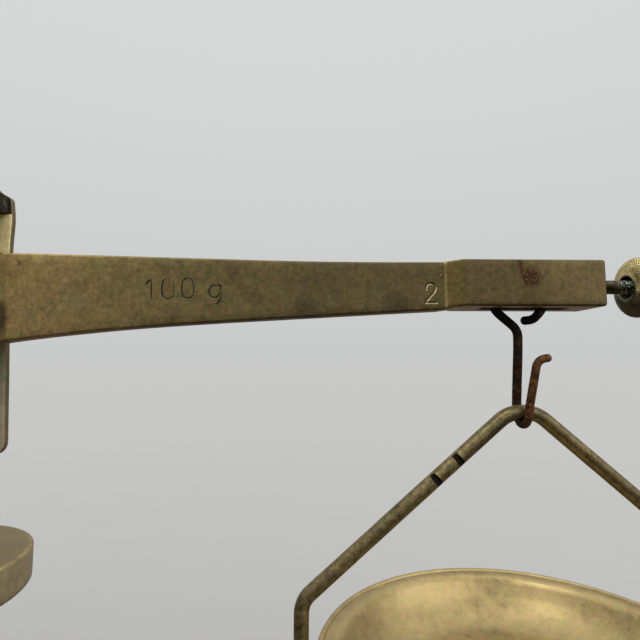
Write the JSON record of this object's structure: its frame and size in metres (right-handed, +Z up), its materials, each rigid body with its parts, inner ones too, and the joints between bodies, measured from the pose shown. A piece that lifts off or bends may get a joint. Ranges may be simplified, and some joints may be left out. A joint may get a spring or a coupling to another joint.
{
  "type": "equal-arm column balance",
  "caption": "Equal-arm column balance: brass beam on a knife edge in a forked lift head, end hooks and wire bails carrying dished pans, knurled balance nuts, wooden base with levelling screws.",
  "frame": {"origin": "centre of the bounding box, level with the undersides of the feet; the column's axis is 8.4 mm behind it", "axes": "+X along the beam towards arm 2, -Y towards the user, +Z up"},
  "size_m": [0.3312, 0.1368, 0.1656],
  "materials": {
    "brass_beam": "tarnished",
    "brass_turned": "satin, tarnished",
    "brass_wire": "tarnished",
    "brass_pan": "polished, aged",
    "brass_fork": "tarnished",
    "steel_rusty": "rusted",
    "steel_dark": "oil-darkened",
    "steel_bright": "ground",
    "wood": "varnished",
    "dial_silver": "silvered"
  },
  "bodies": {
    "stand": {"base_board": "wood", "rear_foot": "brass_turned", "levelling_insert_left": "brass_turned", "levelling_insert_right": "brass_turned", "column_flange": "brass_turned", "flange_screws": "steel_dark", "column_tube": "brass_turned", "column_cap": "brass_turned", "shaft_bush": "brass_turned"},
    "screw_left": {"levelling_screw_left": "brass_turned"},
    "screw_right": {"levelling_screw_right": "brass_turned"},
    "knob": {"control_shaft": "steel_bright", "crank_pin": "steel_bright", "control_knob": "brass_turned"},
    "lift": {"lift_rod": "steel_bright", "lift_yoke": "brass_turned", "fork_carrier": "brass_fork", "fork": "brass_fork", "fork_screws": "steel_dark", "bearing_front": "steel_bright", "bearing_rear": "steel_bright", "scale_plate": "dial_silver", "scale_screws": "steel_dark"},
    "beam": {"beam": "brass_beam", "centre_knife": "steel_bright", "pointer": "steel_dark", "end_pin_left": "steel_rusty", "end_pin_right": "steel_rusty", "stud_left": "steel_dark", "stud_right": "steel_dark"},
    "nut_right": {"balance_nut_right": "brass_beam"},
    "hook_right": {"hook_right": "steel_rusty"},
    "bail_right": {"bail_right": "brass_wire"},
    "pan_right": {"pan_right": "brass_pan"},
    "nut_left": {"balance_nut_left": "brass_beam"},
    "hook_left": {"hook_left": "steel_rusty"},
    "bail_left": {"bail_left": "brass_wire"},
    "pan_left": {"pan_left": "brass_pan"}
  },
  "joints": [
    {"name": "lift_slide", "type": "slide", "parent": "stand", "child": "lift", "axis": [0, 0, 1], "range_m": [-0.005, 0]},
    {"name": "knob_turn", "type": "hinge", "parent": "stand", "child": "knob", "pos_m": [0, 0.0084, 0.0185], "axis": [0, 1, 0], "range_deg": [0, 60]},
    {"name": "beam_swing", "type": "hinge", "parent": "lift", "child": "beam", "pos_m": [0, 0.0084, 0.137], "axis": [0, 1, 0], "range_deg": [-4, 4]},
    {"name": "nut_travel_right", "type": "slide", "parent": "beam", "child": "nut_right", "axis": [1, 0, 0], "range_m": [-0.003, 0.002]},
    {"name": "hook_swing_right", "type": "hinge", "parent": "beam", "child": "hook_right", "pos_m": [0.12, 0.0084, 0.13515], "axis": [0, 1, 0], "range_deg": [-8, 8]},
    {"name": "bail_swing_right", "type": "hinge", "parent": "hook_right", "child": "bail_right", "pos_m": [0.11965, 0.0084, 0.1082], "axis": [1, 0, 0], "range_deg": [-10, 10]},
    {"name": "pan_lift_right", "type": "slide", "parent": "bail_right", "child": "pan_right", "axis": [0, 0, 1], "range_m": [0, 0.006]},
    {"name": "levelling_right", "type": "hinge", "parent": "stand", "child": "screw_right", "pos_m": [0.11, -0.0376, 0], "axis": [0, 0, 1], "continuous": true},
    {"name": "nut_travel_left", "type": "slide", "parent": "beam", "child": "nut_left", "axis": [-1, 0, 0], "range_m": [-0.003, 0.002]},
    {"name": "hook_swing_left", "type": "hinge", "parent": "beam", "child": "hook_left", "pos_m": [-0.12, 0.0084, 0.13515], "axis": [0, 1, 0], "range_deg": [-8, 8]},
    {"name": "bail_swing_left", "type": "hinge", "parent": "hook_left", "child": "bail_left", "pos_m": [-0.11965, 0.0084, 0.1082], "axis": [1, 0, 0], "range_deg": [-10, 10]},
    {"name": "pan_lift_left", "type": "slide", "parent": "bail_left", "child": "pan_left", "axis": [0, 0, 1], "range_m": [0, 0.006]},
    {"name": "levelling_left", "type": "hinge", "parent": "stand", "child": "screw_left", "pos_m": [-0.11, -0.0376, 0], "axis": [0, 0, 1], "continuous": true}
  ],
  "couplings": [
    {"joint": "knob_turn", "follows": "lift_slide", "rad_per_m": -209.4}
  ]
}
